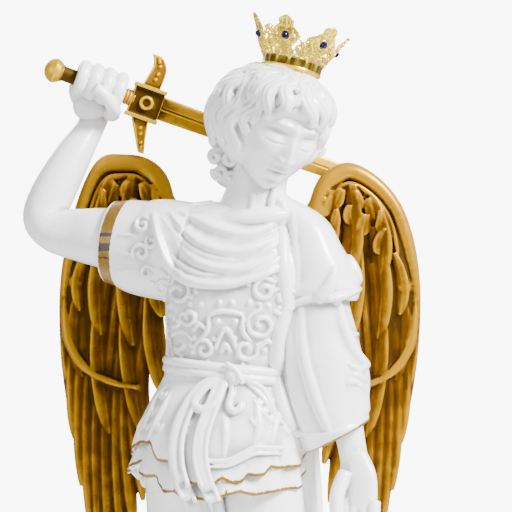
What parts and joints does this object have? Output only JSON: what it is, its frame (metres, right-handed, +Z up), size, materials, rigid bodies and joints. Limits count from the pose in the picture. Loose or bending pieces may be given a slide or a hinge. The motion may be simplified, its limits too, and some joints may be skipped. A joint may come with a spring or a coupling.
{
  "type": "archangel statue",
  "caption": "Cast winged archangel standing on a low oval rock base, sword held behind the head, mantle over a pleated tunic, with a loose open crown on the hair.",
  "frame": {"origin": "middle of the base's flat underside", "axes": "+Z up, -Y the way that the figure faces, +X towards the figure's own left hand"},
  "size_m": [0.2653, 0.1542, 0.5972],
  "materials": {
    "white_glaze": "white cast resin with a soft glaze",
    "gold_paint": "gold painted cast resin, brown in the hollows",
    "crown_brass": "polished gold plate",
    "blue_glass": "cut blue stone"
  },
  "bodies": {
    "root": {"archangel_figure": "white_glaze", "left_wing": "gold_paint", "right_wing": "gold_paint", "sword": "gold_paint", "crown": "crown_brass", "crown_gem_1": "blue_glass", "crown_gem_2": "blue_glass", "crown_gem_3": "blue_glass", "crown_gem_4": "blue_glass", "crown_gem_5": "blue_glass", "crown_gem_6": "blue_glass"}
  },
  "joints": []
}
